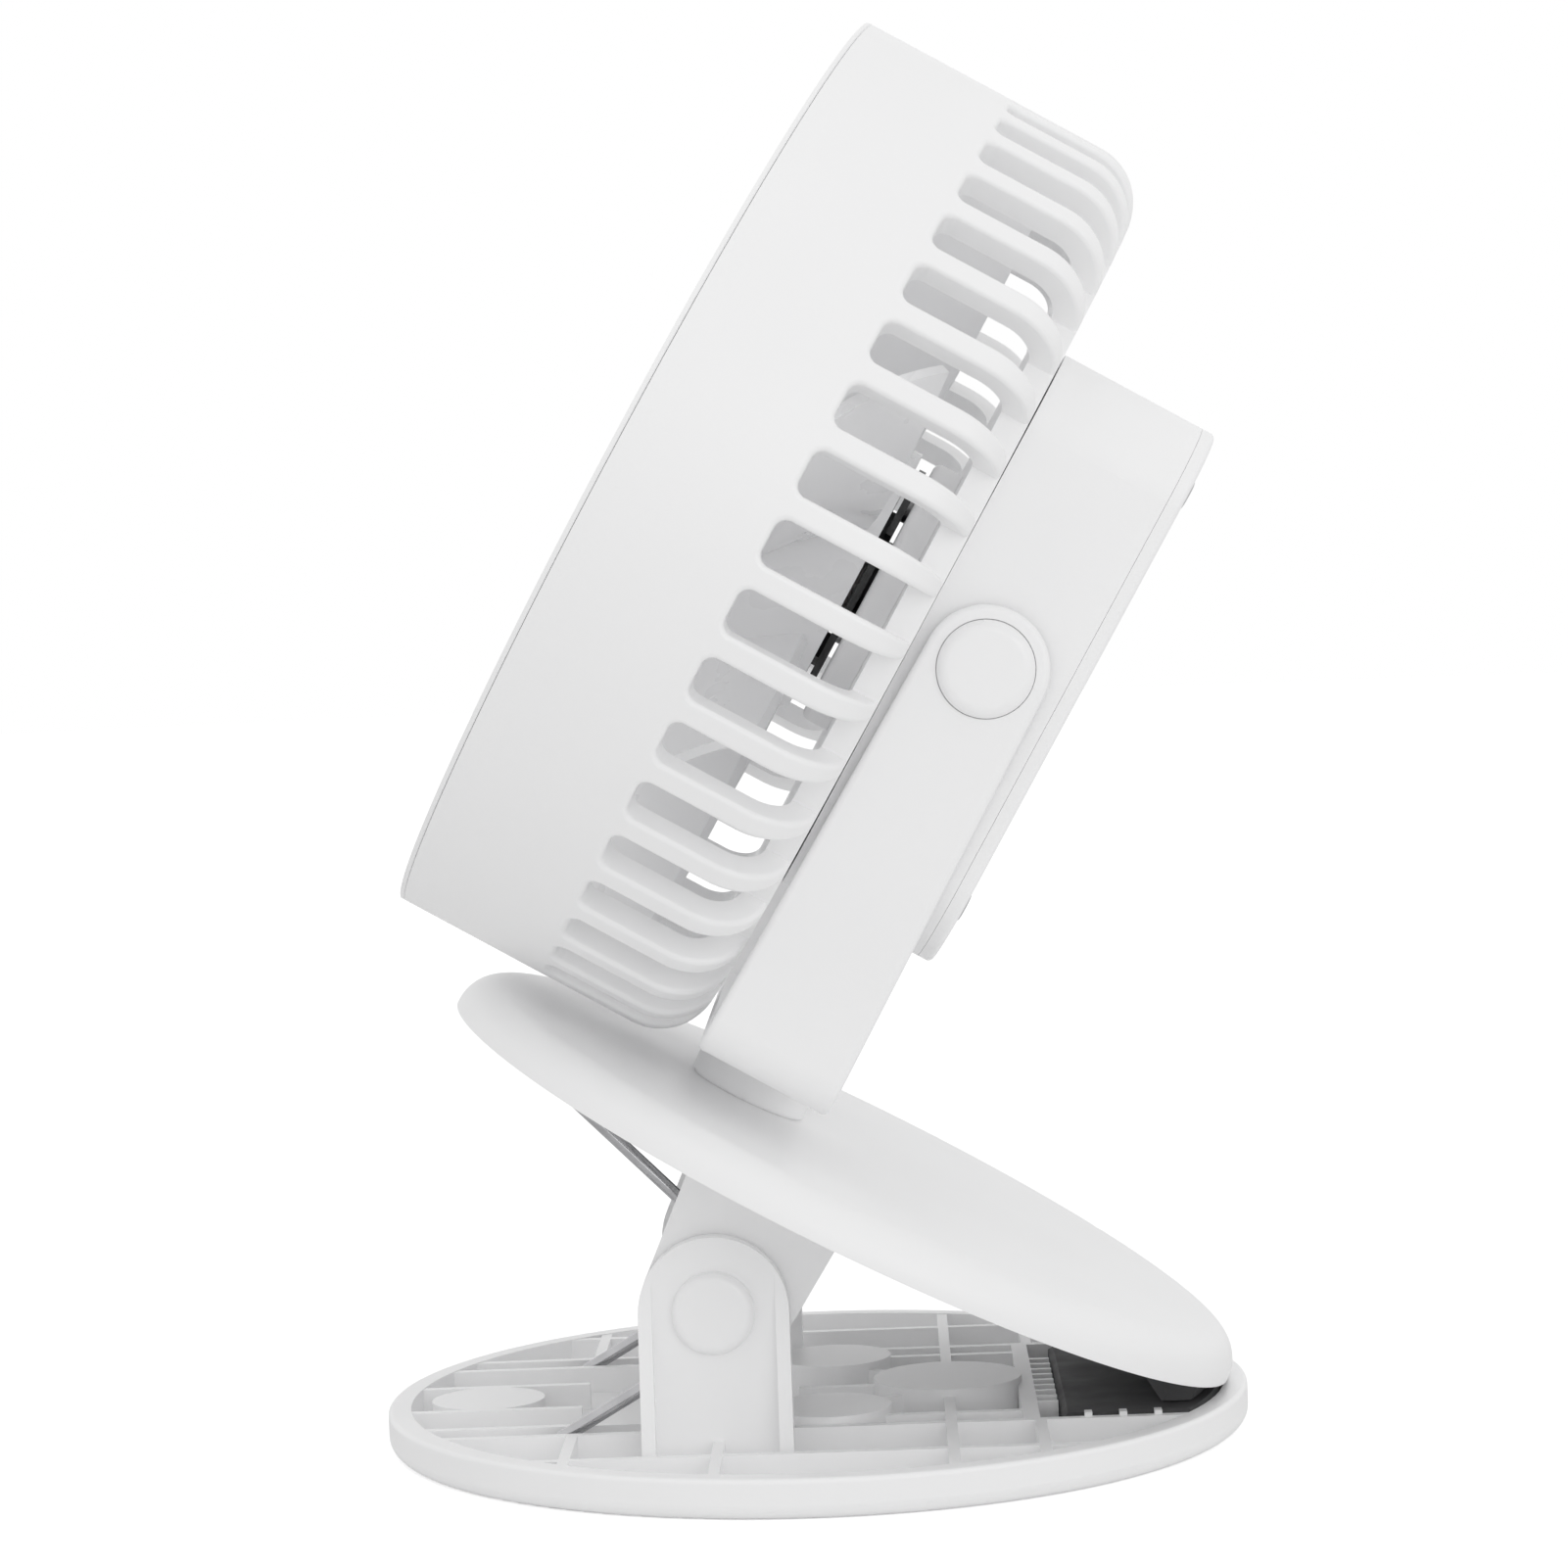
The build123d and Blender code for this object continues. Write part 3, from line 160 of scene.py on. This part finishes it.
def speckle(material, scale, detail):
    """Noise that lies fixed on the object."""
    tree = material.node_tree
    place = tree.nodes.new("ShaderNodeTexCoord")
    noise = tree.nodes.new("ShaderNodeTexNoise")
    noise.inputs["Scale"].default_value = scale
    noise.inputs["Detail"].default_value = detail
    tree.links.new(place.outputs["Object"], noise.inputs["Vector"])
    return noise.outputs["Fac"]


def drift(material, scale, detail, low, high):
    """A value that drifts over the object between two ends."""
    band = material.node_tree.nodes.new("ShaderNodeMapRange")
    band.inputs["From Min"].default_value = NOISE_LOW
    band.inputs["From Max"].default_value = NOISE_HIGH
    band.inputs["To Min"].default_value = low
    band.inputs["To Max"].default_value = high
    material.node_tree.links.new(speckle(material, scale, detail), band.inputs["Value"])
    return band.outputs["Result"]


def drift_tone(material, shader, scale, dark, light):
    """A base colour that drifts between two close tones."""
    tree = material.node_tree
    mix = tree.nodes.new("ShaderNodeMix")
    mix.data_type = "RGBA"
    mix.inputs["A"].default_value = (*dark, 1.0)
    mix.inputs["B"].default_value = (*light, 1.0)
    tree.links.new(drift(material, scale, TONE_DETAIL, 0.0, 1.0), mix.inputs["Factor"])
    tree.links.new(mix.outputs["Result"], shader.inputs["Base Color"])


def raise_grain(material, shader, scale, strength):
    """A fine grain in the bump."""
    tree = material.node_tree
    bump = tree.nodes.new("ShaderNodeBump")
    bump.inputs["Strength"].default_value = strength
    bump.inputs["Distance"].default_value = GRAIN_DEPTH
    tree.links.new(speckle(material, scale, GRAIN_DETAIL), bump.inputs["Height"])
    tree.links.new(bump.outputs["Normal"], shader.inputs["Normal"])


def finish(name, dark, light, tone_scale, smooth, rough, grain_scale, grain):
    """A surface with drifting tone, drifting gloss and a fine grain."""
    material, shader = new_material(name)
    drift_tone(material, shader, tone_scale, dark, light)
    gloss = drift(material, tone_scale * GLOSS_SCALE, GLOSS_DETAIL, smooth, rough)
    material.node_tree.links.new(gloss, shader.inputs["Roughness"])
    raise_grain(material, shader, grain_scale, grain)
    return material


def dress(node, material):
    """Gives a CAD node its finish."""
    mesh = nodes[node].data
    mesh.materials.clear()
    mesh.materials.append(material)


satin_abs = finish("satin_white_abs", dark=(0.935, 0.935, 0.938), light=(0.95, 0.95, 0.952),
                   tone_scale=18.0, smooth=0.36, rough=0.44,
                   grain_scale=2600.0, grain=0.05)
dress("base_plate", satin_abs)

# ---- Rubber jaw pads and grip ring ------------------------------------------------------
# Dark grey rubber blocks are pushed into the tips of both jaws, and a flat rubber ring lies
# flush in the base's underside. They come matt and slightly dusty from the mould.
matt_rubber = finish("matt_dark_rubber", dark=(0.05, 0.05, 0.052), light=(0.075, 0.075, 0.077),
                     tone_scale=60.0, smooth=0.62, rough=0.78,
                     grain_scale=1500.0, grain=0.2)
dress("lower_jaw_pad", matt_rubber)
dress("upper_jaw_pad", matt_rubber)
dress("base_grip_ring", matt_rubber)


# ---- Clip spring ------------------------------------------------------------------------
# One length of polished spring wire: two coils round the axle, two legs in the tray and a
# bow under the top plate. The legs stay with the base and the bow goes with the plate, so
# each coil winds up as the clip opens. The wire is parted in the middle of the bow into
# two closed halves.
def metal(name, dark, light, tone_scale, smooth, rough, grain_scale, grain):
    """The same kind of surface in bare metal."""
    material = finish(name, dark, light, tone_scale, smooth, rough, grain_scale, grain)
    material.node_tree.nodes["Principled BSDF"].inputs["Metallic"].default_value = 1.0
    return material


polished_wire = metal("polished_spring_wire", dark=(0.42, 0.42, 0.43), light=(0.5, 0.5, 0.51),
                      tone_scale=240.0, smooth=0.1, rough=0.17,
                      grain_scale=3000.0, grain=0.05)
SAME_SPOT = 0.000001
CREASE = math.radians(35)


def spring_half(name, side):
    """The half of the spring on one side of the middle plane, closed where it is parted."""
    shape = bmesh.new()
    shape.from_mesh(nodes["clip_spring"].data)
    bmesh.ops.remove_doubles(shape, verts=shape.verts, dist=SAME_SPOT)
    everything = shape.verts[:] + shape.edges[:] + shape.faces[:]
    bmesh.ops.bisect_plane(shape, geom=everything, plane_co=(0, 0, 0), plane_no=(side, 0, 0),
                           clear_inner=True)
    bmesh.ops.holes_fill(shape, edges=[edge for edge in shape.edges if edge.is_boundary])
    for face in shape.faces:
        face.smooth = True
    for edge in shape.edges:
        edge.smooth = edge.calc_face_angle(0.0) < CREASE
    mesh = bpy.data.meshes.new(name)
    shape.to_mesh(mesh)
    shape.free()
    mesh.materials.append(polished_wire)
    half = bpy.data.objects.new(name, mesh)
    scene.collection.objects.link(half)
    return half


for name, side in (("spring_half_right", 1), ("spring_half_left", -1)):
    half = spring_half(name, side)
    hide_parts("clip_spring")
    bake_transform(half)

# ---- Hinge axle and caps ----------------------------------------------------------------
# A ground steel axle runs through ears and cheeks. Two small domed caps of the same ABS,
# moulded a little glossier, are pressed into the ears and hide its ends.
ground_steel = metal("ground_steel", dark=(0.5, 0.5, 0.51), light=(0.6, 0.6, 0.61),
                     tone_scale=160.0, smooth=0.25, rough=0.38,
                     grain_scale=2600.0, grain=0.1)
cap_abs = finish("smooth_cap_abs", dark=(0.935, 0.935, 0.938), light=(0.95, 0.95, 0.952),
                 tone_scale=30.0, smooth=0.27, rough=0.34,
                 grain_scale=2600.0, grain=0.03)
dress("hinge_axle", ground_steel)
dress("hinge_caps", cap_abs)

# ---- Top plate and its bracket ----------------------------------------------------------
# The upper jaw is an inverted dish of the base's ABS. The bracket with its two cheeks is a
# moulding of its own, held under the plate by four screws.
dress("top_plate", satin_abs)
dress("clip_bracket", satin_abs)
dress("bracket_screws", ground_steel)

# ---- Swivel and yoke --------------------------------------------------------------------
# The yoke is one ABS moulding. A shouldered screw and a slippery black washer hold its boss
# on the plate; two more screws and washers hold the head in its eyes, under domed caps.
slippery_plastic = finish("black_washer_plastic", dark=(0.03, 0.03, 0.03), light=(0.05, 0.05, 0.05),
                          tone_scale=90.0, smooth=0.45, rough=0.6,
                          grain_scale=1800.0, grain=0.1)
dress("yoke", satin_abs)
dress("swivel_washer", slippery_plastic)
dress("swivel_screw", ground_steel)
dress("tilt_washers", slippery_plastic)
dress("tilt_screws", ground_steel)
dress("knob_caps", cap_abs)

# ---- Drum and front guard ---------------------------------------------------------------
# The drum and the guard that snaps into its front are two ABS mouldings in the same satin
# white as the clip.
dress("fan_housing", satin_abs)
dress("front_grille", satin_abs)

# ---- Fan --------------------------------------------------------------------------------
# Hub and seven blades are one moulding, from a polished mould to keep dust off: the same
# white, with more gloss and hardly any grain.
blade_plastic = finish("polished_blade_plastic", dark=(0.93, 0.93, 0.935), light=(0.945, 0.945, 0.95),
                       tone_scale=22.0, smooth=0.26, rough=0.34,
                       grain_scale=2600.0, grain=0.02)
dress("impeller", blade_plastic)

# ---- Motor ------------------------------------------------------------------------------
# A small outer-rotor motor: a drawn steel bell with a ferrite ring inside the hub, nine wound
# poles on a tube with two bronze bearings, a black board and the white cup that carries all.
ferrite = finish("grey_ferrite", dark=(0.06, 0.06, 0.065), light=(0.1, 0.1, 0.105),
                 tone_scale=300.0, smooth=0.55, rough=0.7,
                 grain_scale=2400.0, grain=0.3)
bronze = metal("sintered_bronze", dark=(0.34, 0.23, 0.09), light=(0.44, 0.31, 0.13),
               tone_scale=500.0, smooth=0.35, rough=0.5,
               grain_scale=2400.0, grain=0.3)
winding = metal("lacquered_copper_winding", dark=(0.32, 0.12, 0.05), light=(0.46, 0.2, 0.08),
                tone_scale=900.0, smooth=0.25, rough=0.4,
                grain_scale=2200.0, grain=0.5)
board_lacquer = finish("black_board_lacquer", dark=(0.008, 0.008, 0.009), light=(0.018, 0.018, 0.02),
                       tone_scale=400.0, smooth=0.3, rough=0.45,
                       grain_scale=1600.0, grain=0.2)
dress("rotor_bell", ground_steel)
dress("magnet_ring", ferrite)
dress("motor_shaft", ground_steel)
dress("motor_bearings", bronze)
dress("motor_stator", winding)
dress("motor_board", board_lacquer)
dress("motor_cup", satin_abs)
dress("motor_screws", ground_steel)

# ---- Battery box ------------------------------------------------------------------------
# A flat ABS box on the drum's back with a screwed rear cover. The round button is smooth, and
# the bar over the charge lamps is frosted.
frosted_plastic = finish("frosted_lamp_bar", dark=(0.75, 0.77, 0.77), light=(0.82, 0.84, 0.84),
                         tone_scale=200.0, smooth=0.45, rough=0.6,
                         grain_scale=1800.0, grain=0.1)
dress("battery_box", satin_abs)
dress("rear_cover", satin_abs)
dress("power_button", cap_abs)
dress("lamp_window", frosted_plastic)
dress("housing_screws", ground_steel)
dress("cover_screws", ground_steel)

# ---- Cells, board and socket ------------------------------------------------------------
# Two standard round cells in a blue film lie over a black board. The charging socket is a
# plated steel shell in the box's lower wall.
cell_film = finish("blue_cell_film", dark=(0.03, 0.13, 0.22), light=(0.05, 0.18, 0.28),
                   tone_scale=50.0, smooth=0.25, rough=0.35,
                   grain_scale=900.0, grain=0.05)
dress("battery_cells", cell_film)
dress("control_board", board_lacquer)
dress("usb_socket", ground_steel)
